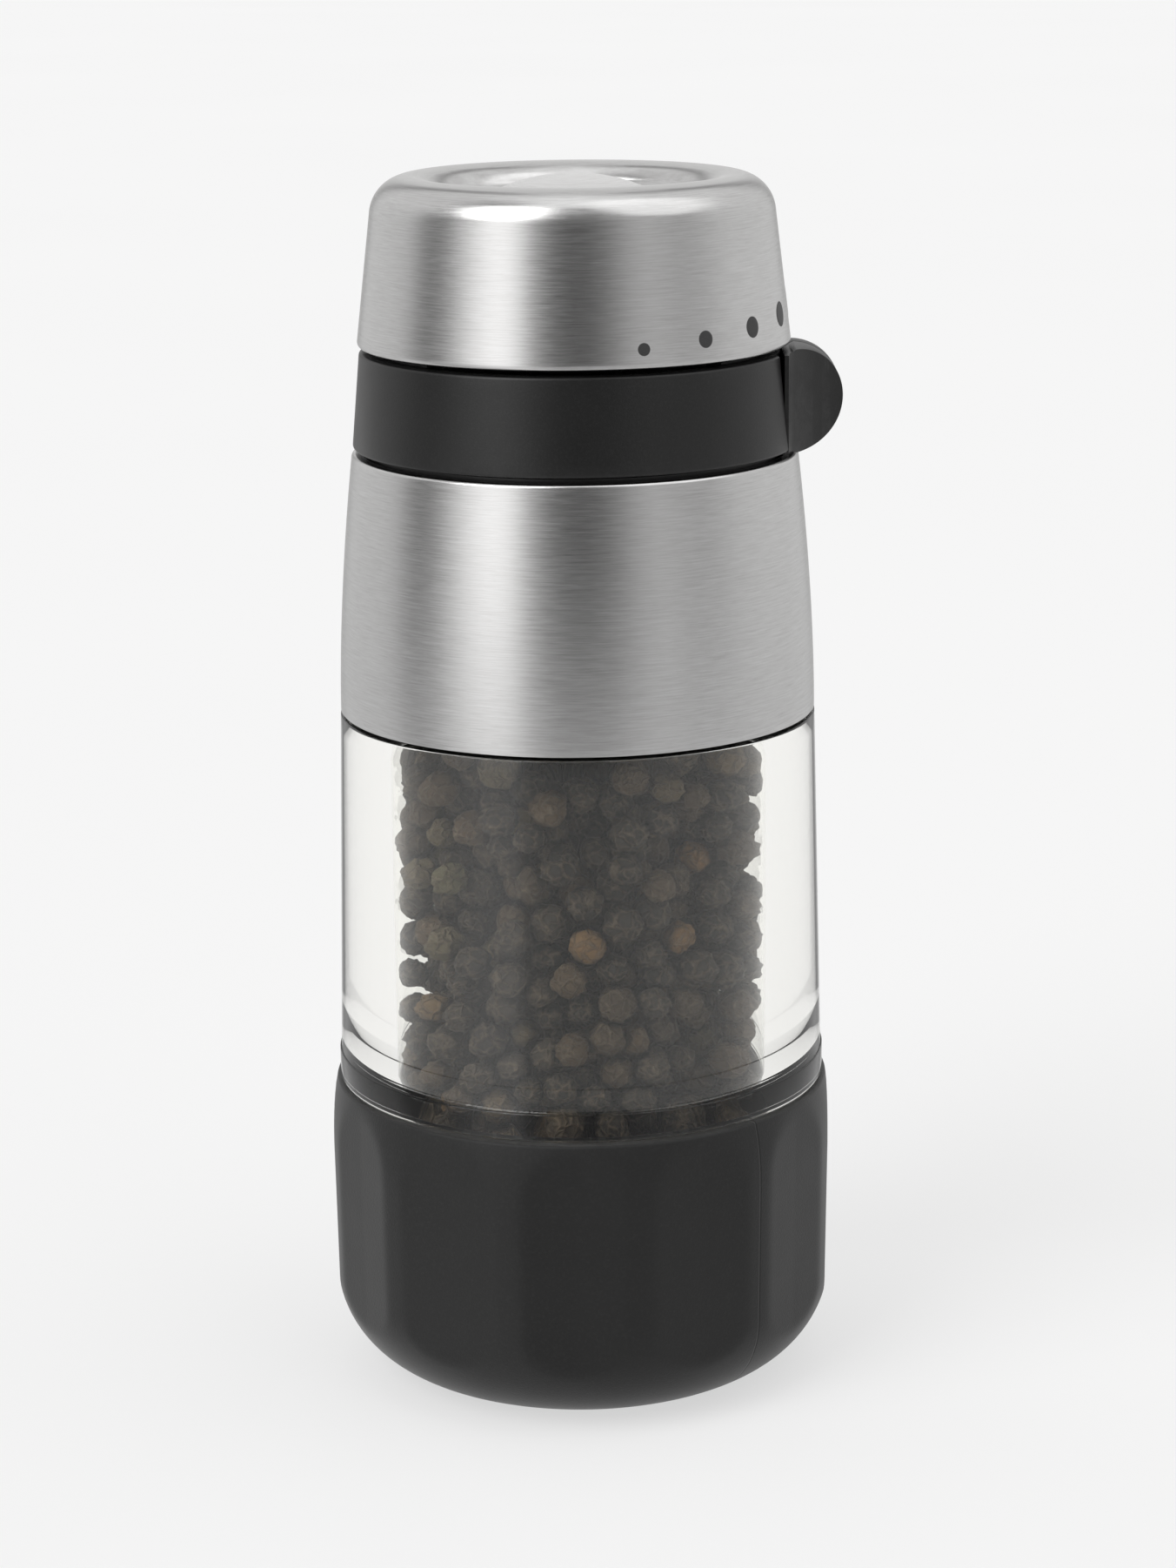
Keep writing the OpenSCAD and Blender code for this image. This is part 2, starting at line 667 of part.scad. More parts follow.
module adjuster_ring() {
    color("#242425") difference() {
        union() {
            rotate_extrude() translate([ring_in_r, band_z]) square([ring_wall, band_h]);
            for (i = [0:post_n - 1])
                ring_sector(groove_r + run_gap, ring_in_r + 0.2, finger_z, finger_z + finger_h,
                    finger_a + i * 360 / post_n, finger_half);
        }
        for (i = [0:size_steps - 1]) rotate([0, 0, leaf_a + i * step_angle])
            translate([ring_in_r - 1, 0, band_z]) rotate([0, 90, 0])
                cylinder(r = bump_r + 0.15, h = ring_wall + 2);
    }
}

// Outline of the band with softened edges, from its inner face outwards
module band_2d() {
    edge = 0.35;
    polygon([[band_in_r, band_z], [band_r - edge, band_z], [band_r, band_z + edge],
        [band_top_r, band_top_z - edge], [band_top_r - edge, band_top_z], [band_in_r, band_top_z]]);
}

module ring_band() {
    color("#2c2c2d") difference() {
        rotate_extrude() band_2d();
        translate([0, tab_y - fit_gap, band_z - 1])
            cube([land_r + tab_reach, tab_w + 2 * fit_gap, band_h + 2]);
    }
}

// Tab between two planes across the ring, band stretch and rounded lobe together
module tab_slice(y0, w) {
    lobe_r = band_h / 2 + 0.3;
    lobe_x = band_top_r + tab_reach - lobe_r;
    difference() {
        intersection() {
            union() {
                rotate_extrude() band_2d();
                translate([lobe_x, tab_y + tab_w, band_z + band_h / 2]) rotate([90, 0, 0])
                    cylinder(r = lobe_r, h = tab_w);
            }
            translate([ring_in_r - ring_wall, y0, band_z - 1]) cube([land_r + tab_reach, w, band_h + 2]);
        }
        translate([0, 0, band_z - 2]) cylinder(r = band_in_r, h = band_h + 4);
        translate([0, 0, band_top_z - eps]) cylinder(r = cap_r + run_gap, h = 2);
        translate([0, 0, band_z - 2 + eps]) cylinder(r = collar_top_r + run_gap, h = 2);
    }
}

// Hollow for the thumb: it leaves the band's side at the tab's front plane and runs out to the lobe's tip
module thumb_scoop() {
    lean = (band_r - band_top_r) / 2 * (1 + 2 / band_h);
    translate([scoop_x, scoop_y, band_z - 1])
        cylinder(r1 = scoop_r - lean, r2 = scoop_r + lean, h = band_h + 2);
}

module thumb_tab() {
    color("#2e2e2f") difference() {
        tab_slice(tab_y, tab_front_w);
        thumb_scoop();
    }
}

module tab_plate() {
    color("#323233") tab_slice(tab_y + tab_front_w + tab_slot, tab_back_w);
}

// ---------------------------------------------------------------- outer burr

module burr_carrier() {
    color("#3a3a3c") difference() {
        union() {
            rotate_extrude() polygon([[carrier_in_r, carrier_z], [carrier_r, carrier_z], [carrier_r, groove_z],
                [groove_r, groove_z], [groove_r, groove_top_z], [carrier_r, groove_top_z],
                [carrier_r, carrier_top_z], [ledge_r, carrier_top_z], [ledge_r, burr_top_z],
                [carrier_in_r, burr_top_z]]);
            around(post_n, post_a + 60) translate([carrier_r - carrier_wall / 2, -rib_w / 2, rib_z])
                cube([carrier_wall / 2 + rib_proud, rib_w, rib_h]);
        }
        translate([0, 0, clip_z - shaft_gap]) cylinder(r = carrier_in_r + 0.5, h = clip_t + 2 * shaft_gap);
    }
}

module outer_burr() {
    gape_r = burr_r - 1.6;
    throat_r = inner_burr_r(throat_z) + burr_gap;
    color("#cfcabd") difference() {
        rotate_extrude() polygon([[gape_r, burr_z], [burr_r, burr_z], [burr_r, burr_top_z],
            [exit_r, burr_top_z], [throat_r, throat_z]]);
        teeth(15, exit_r - burr_slope * burr_h / 4, throat_z + burr_h / 4, burr_slope, 1.2, 0.9, -24);
    }
}

module burr_retainer() {
    gap_w = 5;
    color("#9a9c9f") translate([0, 0, clip_z]) difference() {
        cylinder(r = carrier_in_r + 0.5 - shaft_gap, h = clip_t);
        translate([0, 0, -1]) cylinder(r = burr_r - 1.5, h = clip_t + 2);
        translate([0, -gap_w / 2, -1]) cube([carrier_r * 2, gap_w, clip_t + 2]);
    }
}

grip_sleeve();
base_core();
foot_pad();
base_screws();
chamber_tube();
drive_plug();
plug_seal();
drive_shaft();
feed_cone();
inner_burr();
thrust_washer();
shaft_clip();
steel_collar();
head_frame();
top_cap();
cap_core();
dome();
shaft_bush();
grind_marks();
core_screws();
click_leaf();
adjuster_ring();
ring_band();
thumb_tab();
tab_plate();
burr_carrier();
outer_burr();
burr_retainer();
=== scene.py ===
"""Looks of the pepper mill: visible shells, clear chamber, peppercorns, materials, camera and light."""
import math

import bmesh
import bpy
import numpy as np
from mathutils import Matrix, Vector, noise


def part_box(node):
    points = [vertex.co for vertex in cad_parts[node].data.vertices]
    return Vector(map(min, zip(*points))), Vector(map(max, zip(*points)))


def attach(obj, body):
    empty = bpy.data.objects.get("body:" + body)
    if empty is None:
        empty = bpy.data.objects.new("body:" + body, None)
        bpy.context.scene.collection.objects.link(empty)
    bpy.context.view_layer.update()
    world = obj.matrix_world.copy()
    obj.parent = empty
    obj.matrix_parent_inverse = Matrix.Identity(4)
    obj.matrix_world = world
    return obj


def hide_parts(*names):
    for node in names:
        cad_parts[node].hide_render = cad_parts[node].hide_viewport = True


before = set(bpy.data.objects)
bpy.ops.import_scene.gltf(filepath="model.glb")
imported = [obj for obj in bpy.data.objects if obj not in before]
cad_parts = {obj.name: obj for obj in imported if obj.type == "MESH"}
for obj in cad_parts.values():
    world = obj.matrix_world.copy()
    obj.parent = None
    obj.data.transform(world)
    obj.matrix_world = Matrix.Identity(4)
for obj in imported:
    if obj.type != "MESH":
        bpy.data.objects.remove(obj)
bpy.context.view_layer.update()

MM = 0.001
SEED = 11
draw = np.random.default_rng(SEED)
scene = bpy.context.scene


# ------------------------------------------------------------------ sizes read from the frame

def low(node):
    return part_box(node)[0]


def high(node):
    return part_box(node)[1]


TOP_Z = high("top_cap").z
CAP_Z = low("top_cap").z
CAP_R = high("top_cap").y
BAND_Z, BAND_TOP_Z = low("ring_band").z, high("ring_band").z
BAND_R = high("ring_band").y
BAND_IN_R = high("adjuster_ring").y + 0.1 * MM
COLLAR_Z, COLLAR_TOP_Z = low("steel_collar").z, high("steel_collar").z
COLLAR_R = high("steel_collar").y
TUBE_Z, NECK_Z = low("chamber_tube").z, high("chamber_tube").z
FLANGE_R = high("chamber_tube").y
SEAT_Z = high("base_core").z
CORE_R = high("base_core").y
GRIP_Z, GRIP_TOP_Z = low("grip_sleeve").z, high("grip_sleeve").z
PAD_R = high("foot_pad").y
DOME_R, DOME_Z = high("dome").y, high("dome").z
TAB_Y = low("thumb_tab").y
TAB_SPLIT = high("thumb_tab").y, low("tab_plate").y
TAB_BACK = high("tab_plate").y
TAB_X = high("tab_plate").x
CONE_Z, CONE_R = low("feed_cone").z, high("feed_cone").y

# Driving sizes that a box doesn't give
COLLAR_DRAW, COLLAR_CURVE = 2.1 * MM, 1.75
STEEL_T = 0.6 * MM
BAND_DRAW = 0.95 * MM
CAP_DRAW = 1.87 * MM
RIM_ROUND = 4.77 * MM
OUTLET_R = 12.2 * MM
LAND_R, FLUTE_R = 31.8 * MM, 31.15 * MM
FOOT_ROUND = 12.3 * MM
FLUTES, FLUTE_TURN = 12, math.radians(13)
CHAMBER_WALL = 5.95 * MM
CHAMBER_TOP_R = COLLAR_R + 0.05 * MM
BORE_R = CHAMBER_TOP_R - CHAMBER_WALL
MOUTH_R = BORE_R + 1.2 * MM
FLANGE_H, FLANGE_PROUD = 3.5 * MM, 0.2 * MM
SHOULDER_Z = COLLAR_Z - 0.4 * MM
MOUTH_LEAD = 0.7 * MM
FLOOR_T = 4 * MM
TIP_T, SCOOP_R = 3.6 * MM, 18 * MM
CHAMBER_FLOOR_Z = TUBE_Z + FLOOR_T


# ------------------------------------------------------------------ mesh helpers

def arc(cx, cz, r, a0, a1, n=10):
    """Points of an arc in the (radius, height) plane, angles in degrees."""
    angles = [math.radians(a0 + (a1 - a0) * i / n) for i in range(n + 1)]
    return [(cx + r * math.cos(a), cz + r * math.sin(a)) for a in angles]


def line(p, q, n):
    """Points from p towards q, q left out."""
    return [(p[0] + (q[0] - p[0]) * i / n, p[1] + (q[1] - p[1]) * i / n) for i in range(n)]


def add_object(name, bm, material, body, *nodes, sharp=35):
    """Turns a bmesh into a piece that rides on a body and stands for CAD nodes."""
    bmesh.ops.remove_doubles(bm, verts=bm.verts, dist=1e-7)
    bmesh.ops.recalc_face_normals(bm, faces=bm.faces)
    mesh = bpy.data.meshes.new(name)
    bm.to_mesh(mesh)
    bm.free()
    mesh.shade_smooth()
    if sharp:
        mesh.set_sharp_from_angle(angle=math.radians(sharp))
    piece = bpy.data.objects.new(name, mesh)
    scene.collection.objects.link(piece)
    mesh.materials.append(material)
    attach(piece, body)
    if nodes:
        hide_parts(*nodes)
    return piece


def revolve(outline, steps=192, start=None, stop=None):
    """Closed outline of (radius, height) points swept round Z.

    start and stop give the end angles at a radius.
    """
    bm = bmesh.new()
    whole = start is None
    columns = steps if whole else steps + 1
    rings = []
    for i in range(columns):
        ring = []
        for r, z in outline:
            a = 2 * math.pi * i / steps if whole else start(r) + (stop(r) - start(r)) * i / steps
            ring.append(bm.verts.new((r * math.cos(a), r * math.sin(a), z)))
        rings.append(ring)
    n = len(outline)
    for i in range(steps):
        here, after = rings[i], rings[(i + 1) % columns]
        for j in range(n):
            k = (j + 1) % n
            bm.faces.new((here[j], after[j], after[k], here[k]))
    if not whole:
        bm.faces.new(rings[0])
        bm.faces.new(reversed(rings[-1]))
    return bm


# ------------------------------------------------------------------ shader helpers

class Tree:
    """A node tree with short calls to add and wire its nodes."""

    def __init__(self, tree):
        self.tree = tree

    def add(self, kind, **settings):
        node = self.tree.nodes.new(kind)
        for key, value in settings.items():
            setattr(node, key, value)
        return node

    def wire(self, out, into):
        self.tree.links.new(out, into)
        return self

    def put(self, node, **values):
        for key, value in values.items():
            socket = node.inputs[key.replace("_", " ")]
            if isinstance(value, bpy.types.NodeSocket):
                self.wire(value, socket)
            else:
                socket.default_value = value
        return node

    def math(self, operation, a, b=None, clamp=False):
        node = self.add("ShaderNodeMath", operation=operation, use_clamp=clamp)
        for socket, value in zip(node.inputs, (a, b)):
            if isinstance(value, bpy.types.NodeSocket):
                self.wire(value, socket)
            elif value is not None:
                socket.default_value = value
        return node.outputs[0]

    def noise(self, vector, scale, detail=3.0, roughness=0.6):
        node = self.add("ShaderNodeTexNoise")
        self.put(node, Vector=vector, Scale=scale, Detail=detail, Roughness=roughness)
        return node.outputs["Fac"]

    def spread(self, value, low_in, high_in, low_out=0.0, high_out=1.0):
        node = self.add("ShaderNodeMapRange")
        self.put(node, Value=value, From_Min=low_in, From_Max=high_in, To_Min=low_out, To_Max=high_out)
        return node.outputs[0]

    def stretch(self, vector, scale):
        node = self.add("ShaderNodeMapping")
        self.put(node, Vector=vector, Scale=scale)
        return node.outputs[0]

    def blend(self, factor, a, b, mode="MIX"):
        node = self.add("ShaderNodeMix", data_type="RGBA", blend_type=mode)
        for index, value in ((0, factor), (6, a), (7, b)):
            if isinstance(value, bpy.types.NodeSocket):
                self.wire(value, node.inputs[index])
            else:
                node.inputs[index].default_value = value
        return node.outputs[2]

    def ramp(self, value, stops):
        node = self.add("ShaderNodeValToRGB")
        band = node.color_ramp
        while len(band.elements) < len(stops):
            band.elements.new(0.5)
        for element, (place, colour) in zip(band.elements, stops):
            element.position = place
            element.color = colour
        self.wire(value, node.inputs[0])
        return node.outputs[0]


def grey(v, warm=0.0):
    return (v * (1 + warm), v, v * (1 - warm), 1.0)


def group(name, inputs, outputs):
    """An empty node group with named number sockets. Returns its tree, its input and its output sockets."""
    tree = bpy.data.node_groups.new(name, "ShaderNodeTree")
    for label, kind, value in inputs:
        socket = tree.interface.new_socket(label, in_out="INPUT", socket_type=kind)
        if value is not None:
            socket.default_value = value
    for label, kind in outputs:
        tree.interface.new_socket(label, in_out="OUTPUT", socket_type=kind)
    work = Tree(tree)
    return work, work.add("NodeGroupInput").outputs, work.add("NodeGroupOutput").inputs


FLOAT = "NodeSocketFloat"


def brushed_group():
    """Grain that runs round the axis on upright faces and in circles on level ones."""
    t, given, out = group(
        "brushed_grain",
        [("Fineness", FLOAT, 4200.0), ("Length", FLOAT, 230.0)],
        [("Streaks", FLOAT), ("Patches", FLOAT)])
    place = t.add("ShaderNodeTexCoord").outputs["Object"]
    axes = t.add("ShaderNodeSeparateXYZ")
    t.wire(place, axes.inputs[0])
    radius = t.math("SQRT", t.math("ADD", t.math("MULTIPLY", axes.outputs[0], axes.outputs[0]),
                                   t.math("MULTIPLY", axes.outputs[1], axes.outputs[1])))
    across = t.math("MULTIPLY", t.math("SUBTRACT", axes.outputs[2], radius), given["Fineness"])
    grain = t.add("ShaderNodeCombineXYZ")
    t.put(grain, X=t.math("MULTIPLY", axes.outputs[0], given["Length"]),
          Y=t.math("MULTIPLY", axes.outputs[1], given["Length"]), Z=across)
    fine = t.noise(grain.outputs[0], 1.0, 4.0, 0.7)
    broad = t.noise(t.stretch(grain.outputs[0], (2.2, 2.2, 0.31)), 1.0, 3.0, 0.6)
    t.wire(t.math("ADD", t.math("MULTIPLY", fine, 0.8), t.math("MULTIPLY", broad, 0.2)), out["Streaks"])
    t.wire(t.noise(place, 38.0, 2.0, 0.5), out["Patches"])
    return t.tree


def speckle_group():
    """Fine moulded texture: a grain height, small light specks and slow uneven patches."""
    t, given, out = group(
        "moulded_speckle", [("Size", FLOAT, 5200.0)],
        [("Height", FLOAT), ("Specks", FLOAT), ("Patches", FLOAT)])
    place = t.add("ShaderNodeTexCoord").outputs["Object"]
    t.wire(t.noise(place, given["Size"], 2.0, 0.5), out["Height"])
    specks = t.noise(place, t.math("MULTIPLY", given["Size"], 0.55), 2.0, 0.75)
    t.wire(t.spread(specks, 0.48, 0.78), out["Specks"])
    t.wire(t.noise(place, 45.0, 3.0, 0.55), out["Patches"])
    return t.tree


def wear_and_highlight_group():
    """Mask of the convex edges, broken up so that it isn't even: edge wear, and on the band a painted edge
    highlight.
    """
    t, given, out = group("edge_wear_and_highlight", [("Spread", FLOAT, 0.06)], [("Mask", FLOAT)])
    point = t.add("ShaderNodeNewGeometry").outputs["Pointiness"]
    edge = t.spread(point, 0.5, t.math("ADD", given["Spread"], 0.5))
    place = t.add("ShaderNodeTexCoord").outputs["Object"]
    t.wire(t.math("MULTIPLY", edge, t.spread(t.noise(place, 420.0, 4.0, 0.7), 0.35, 0.7)), out["Mask"])
    return t.tree


BRUSHED = brushed_group()
SPECKLE = speckle_group()
WEAR_AND_HIGHLIGHT = wear_and_highlight_group()


def use(t, tree, **values):
    node = t.add("ShaderNodeGroup", node_tree=tree)
    t.put(node, **values)
    return node.outputs


def finish(name, **settings):
    """A material with one Principled shader whose plain values are set on its sockets."""
    made = bpy.data.materials.new(name)
    made.use_nodes = True
    t = Tree(made.node_tree)
    shader = made.node_tree.nodes["Principled BSDF"]
    for label, value in settings.items():
        shader.inputs[label.replace("_", " ")].default_value = value
    return made, t, shader


def bump(t, shader, height, strength, distance):
    node = t.add("ShaderNodeBump")
    t.put(node, Height=height, Strength=strength, Distance=distance)
    t.wire(node.outputs[0], shader.inputs["Normal"])


def steel(name, shade=0.62, rough=0.22, fineness=6500.0, stretch=0.75):
    made, t, shader = finish(name, Metallic=1.0, Anisotropic=stretch)
    t.wire(t.add("ShaderNodeTangent", direction_type="RADIAL", axis="Z").outputs[0], shader.inputs["Tangent"])
    grain = use(t, BRUSHED, Fineness=fineness)
    worn_and_lit_edges = use(t, WEAR_AND_HIGHLIGHT, Spread=0.05)
    tone = t.ramp(grain["Streaks"], [(0.3, grey(shade * 0.86, 0.008)), (0.5, grey(shade, 0.005)),
                                     (0.7, grey(shade * 1.13, 0.0))])
    t.wire(t.blend(t.math("MULTIPLY", worn_and_lit_edges["Mask"], 0.4), tone, grey(min(0.92, shade * 1.4))),
           shader.inputs["Base Color"])
    uneven = t.spread(grain["Patches"], 0.3, 0.7, -0.015, 0.015)
    t.wire(t.math("ADD", t.spread(grain["Streaks"], 0.25, 0.75, rough - 0.03, rough + 0.04), uneven),
           shader.inputs["Roughness"])
    bump(t, shader, grain["Streaks"], 0.1, 0.00003)
    return made


def plastic(name, colour, rough=0.42, size=5200.0, grain=0.35, lift=1.5, edge=0.35, **settings):
    made, t, shader = finish(name, **settings)
    skin = use(t, SPECKLE, Size=size)
    worn_and_lit_edges = use(t, WEAR_AND_HIGHLIGHT, Spread=0.07)
    bright = tuple(min(1.0, c * lift + 0.004) for c in colour[:3]) + (1.0,)
    tone = t.blend(t.math("MULTIPLY", skin["Specks"], 0.35), colour, bright)
    dull = tuple(c * 0.82 for c in colour[:3]) + (1.0,)
    tone = t.blend(t.spread(skin["Patches"], 0.35, 0.7, 0.0, 0.5), tone, dull)
    # Convex edges blend towards the lighter tone: edge wear, and on the band (lift 4.0, edge 0.7) a painted
    # highlight along its rounded top and bottom edges.
    t.wire(t.blend(t.math("MULTIPLY", worn_and_lit_edges["Mask"], edge), tone, bright), shader.inputs["Base Color"])
    t.wire(t.spread(skin["Patches"], 0.3, 0.7, rough - 0.05, rough + 0.06), shader.inputs["Roughness"])
    bump(t, shader, skin["Height"], grain, 0.00006)
    return made


def soft_grip():
    """Soft-touch rubber with its fine pebble and the mould's parting line."""
    made, t, shader = finish("soft_grip", Specular_IOR_Level=0.4, Sheen_Weight=0.2, Sheen_Roughness=0.4)
    skin = use(t, SPECKLE, Size=4300.0)
    worn_and_lit_edges = use(t, WEAR_AND_HIGHLIGHT, Spread=0.05)
    place = t.add("ShaderNodeTexCoord").outputs["Object"]
    axes = t.add("ShaderNodeSeparateXYZ")
    t.wire(place, axes.inputs[0])
    seam_turn = FLUTE_TURN - 2 * math.pi / FLUTES * 2
    away = t.math("ABSOLUTE", t.math("SUBTRACT", t.math("MULTIPLY", axes.outputs[1], math.cos(seam_turn)),
                                     t.math("MULTIPLY", axes.outputs[0], math.sin(seam_turn))))
    seam = t.spread(away, 0.05 * MM, 0.16 * MM, 1.0, 0.0)
    black, light = grey(0.0065, 0.0), grey(0.016, 0.01)
    tone = t.blend(t.math("MULTIPLY", skin["Specks"], 0.6), black, light)
    tone = t.blend(t.spread(skin["Patches"], 0.4, 0.72, 0.0, 0.35), tone, grey(0.013, 0.0))
    tone = t.blend(t.math("MULTIPLY", worn_and_lit_edges["Mask"], 0.3), tone, grey(0.03, 0.0))
    t.wire(t.blend(t.math("MULTIPLY", seam, 0.8), tone, grey(0.002)), shader.inputs["Base Color"])
    t.wire(t.spread(skin["Patches"], 0.3, 0.7, 0.5, 0.6), shader.inputs["Roughness"])
    height = t.math("SUBTRACT", t.math("MULTIPLY", skin["Height"], 0.4), seam)
    bump(t, shader, height, 0.5, 0.00012)
    return made


def clear_acrylic():
    """Thick clear wall with faint wipe marks. Lamps pass through it, so the corns behind are lit."""
    made, t, shader = finish("clear_acrylic", Transmission_Weight=1.0, IOR=1.49,
                             Base_Color=(0.995, 0.992, 0.962, 1.0))
    place = t.add("ShaderNodeTexCoord").outputs["Object"]
    smear = t.noise(t.stretch(place, (1.0, 1.0, 0.35)), 90.0, 5.0, 0.7)
    t.wire(t.spread(smear, 0.5, 0.9, 0.0, 0.005), shader.inputs["Roughness"])
    bump(t, shader, t.noise(place, 60.0, 1.0, 0.4), 0.02, 0.00004)
    passing = t.add("ShaderNodeBsdfTransparent")
    t.put(passing, Color=(0.93, 0.93, 0.9, 1.0))
    either = t.add("ShaderNodeMixShader")
    t.wire(t.add("ShaderNodeLightPath").outputs["Is Shadow Ray"], either.inputs[0])
    t.wire(shader.outputs[0], either.inputs[1])
    t.wire(passing.outputs[0], either.inputs[2])
    t.wire(either.outputs[0], made.node_tree.nodes["Material Output"].inputs[0])
    return made


def peppercorn_skin():
    """Dark wrinkled skin, a different brown on each corn, with paler ridges, and painted shade where the
    corns crowd each other.
    """
    made, t, shader = finish("peppercorn_skin", Specular_IOR_Level=0.12)
    own = t.add("ShaderNodeNewGeometry").outputs["Random Per Island"]
    base = t.ramp(own, [(0.0, (0.018, 0.016, 0.015, 1)), (0.28, (0.030, 0.026, 0.022, 1)),
                        (0.5, (0.042, 0.035, 0.028, 1)), (0.72, (0.058, 0.043, 0.030, 1)),
                        (0.88, (0.085, 0.058, 0.034, 1)), (0.95, (0.10, 0.092, 0.055, 1)),
                        (0.985, (0.16, 0.092, 0.042, 1)), (1.0, (0.34, 0.20, 0.09, 1))])
    place = t.add("ShaderNodeTexCoord").outputs["Object"]
    warp = t.add("ShaderNodeTexNoise")
    t.put(warp, Vector=place, Scale=600.0, Detail=2.0)
    folds = t.add("ShaderNodeTexVoronoi", feature="DISTANCE_TO_EDGE")
    t.put(folds, Vector=t.blend(0.0015, place, warp.outputs["Color"]), Scale=720.0)
    ridge = t.spread(folds.outputs["Distance"], 0.0, 0.2, 1.0, 0.0)
    dust = t.noise(place, 1100.0, 4.0, 0.65)
    pale = t.math("MULTIPLY", ridge, t.spread(dust, 0.35, 0.65, 0.1, 0.85))
    tone = t.blend(pale, base, (0.15, 0.118, 0.084, 1))
    tone = t.blend(t.spread(dust, 0.5, 0.8, 0.0, 0.45), tone, (0.08, 0.064, 0.048, 1))
    # Painted shade: ambient occlusion of the corns' own mesh darkens the colour towards near black in the
    # crevices between corns.
    crevice_occlusion = t.add("ShaderNodeAmbientOcclusion", samples=6, only_local=True)
    t.put(crevice_occlusion, Distance=2.4 * MM)
    shade = t.spread(crevice_occlusion.outputs["AO"], 0.25, 0.8)
    t.wire(t.blend(shade, (0.003, 0.0026, 0.0022, 1), tone), shader.inputs["Base Color"])
    t.wire(t.spread(dust, 0.3, 0.7, 0.45, 0.75), shader.inputs["Roughness"])
    height = t.math("ADD", t.math("MULTIPLY", ridge, 1.0), t.math("MULTIPLY", dust, 0.35))
    bump(t, shader, height, 1.0, 0.00035)
    return made


STEEL = steel("brushed_steel_side")
# The dome's steel has its own finer, less stretched grain. Its lighter tone (shade 0.82 against the side
# steel's 0.62) is painted light that stands in for the brighter reflection on the dome's crown.
DOME_STEEL = steel("brushed_steel_dome", 0.82, 0.22, 5200.0, 0.5)
GRIP = soft_grip()
ACRYLIC = clear_acrylic()
CORN = peppercorn_skin()
# Satin black band: lift 4.0 and edge 0.7 lighten its convex edges, a painted highlight along the rounded top
# and bottom edges.
BAND = plastic("band_satin_black", grey(0.006), 0.38, 6000.0, 0.22, 4.0, 0.7, Specular_IOR_Level=0.45)
BLACK = plastic("moulded_black", grey(0.026), 0.45, 4200.0)
RUBBER = plastic("foot_rubber", grey(0.03), 0.62, 3000.0, 0.5)
ACETAL = plastic("white_acetal", grey(0.74, 0.01), 0.32, 5000.0, 0.15, 1.1)
CERAMIC = plastic("burr_ceramic", (0.66, 0.62, 0.53, 1), 0.5, 2600.0, 0.5, 1.15)
ENAMEL = plastic("mark_enamel", grey(0.032), 0.5, 4000.0, 0.25, 1.3, 0.0)
BRIGHT = steel("bright_fastener", 0.62, 0.24, 9000.0, 0.3)
SHAFT = steel("ground_shaft", 0.66, 0.18, 7000.0, 0.6)
BRONZE = plastic("sintered_bronze", (0.5, 0.33, 0.14, 1), 0.4, 2400.0, 0.4, 1.3, Metallic=1.0)


# ------------------------------------------------------------------ shells of the head

def collar_r(z):
    part = max(0.0, (z - COLLAR_Z) / (COLLAR_TOP_Z - COLLAR_Z))
    return COLLAR_R - COLLAR_DRAW * part ** COLLAR_CURVE


def steel_collar():
    foot, crown = 0.12 * MM, 0.55 * MM
    lip_r = collar_r(COLLAR_TOP_Z) - STEEL_T - 0.8 * MM
    n = 36
    heights = [COLLAR_Z + foot + (COLLAR_TOP_Z - crown - COLLAR_Z - foot) * i / n for i in range(n + 1)]
    top_r = collar_r(heights[-1])
    outline = arc(COLLAR_R - foot, COLLAR_Z + foot, foot, -90, 0, 4)
    outline += [(collar_r(z), z) for z in heights[1:]]
    outline += arc(top_r - crown, COLLAR_TOP_Z - crown, crown, 8, 90, 7)
    outline += [(lip_r + foot, COLLAR_TOP_Z), (lip_r, COLLAR_TOP_Z - foot), (lip_r, COLLAR_TOP_Z - STEEL_T)]
    outline += [(collar_r(COLLAR_TOP_Z) - STEEL_T, COLLAR_TOP_Z - STEEL_T)]
    outline += [(collar_r(z) - STEEL_T, z) for z in reversed(heights[:-2])]
    add_object("collar_shell", revolve(outline), STEEL, "head", "steel_collar")


def cap_side_r(z):
    """Radius of the cap's straight side at a height."""
    return CAP_R - CAP_DRAW * (z - CAP_Z) / (TOP_Z - CAP_Z - RIM_ROUND)


def top_cap():
    hem, lip_h, dish_a = 0.62 * MM, 1 * MM, 150
    rim_z = TOP_Z - RIM_ROUND
    crest_r = CAP_R - CAP_DRAW - RIM_ROUND
    lean = math.degrees(math.atan(CAP_DRAW / (rim_z - CAP_Z)))
    dish = math.radians(dish_a)
    lip_z = rim_z + RIM_ROUND * math.sin(dish) - (crest_r + RIM_ROUND * math.cos(dish) - OUTLET_R) * 0.55
    side_top = arc(crest_r, rim_z, RIM_ROUND, lean, lean + 1, 1)[0]
    hem_r = cap_side_r(CAP_Z + hem) - hem
    outline = [(hem_r - 0.1 * MM, CAP_Z + 0.25 * MM)] + arc(hem_r, CAP_Z + hem, hem, -100, lean, 8)
    outline += line(outline[-1], side_top, 20)[1:]
    outline += arc(crest_r, rim_z, RIM_ROUND, lean, dish_a, 30)
    slope_end = (OUTLET_R + 0.3 * MM, lip_z + 0.16 * MM)
    outline += line(outline[-1], slope_end, 5)[1:]
    outline += [slope_end, (OUTLET_R + 0.08 * MM, lip_z + 0.03 * MM), (OUTLET_R, lip_z - 0.2 * MM)]
    outline += [(OUTLET_R, lip_z - lip_h), (OUTLET_R + STEEL_T, lip_z - lip_h)]
    outline += [(OUTLET_R + STEEL_T, lip_z - 0.35 * MM)]
    outline += arc(crest_r, rim_z, RIM_ROUND - STEEL_T, dish_a, lean, 24)
    add_object("cap_shell", revolve(outline), STEEL, "head", "top_cap")


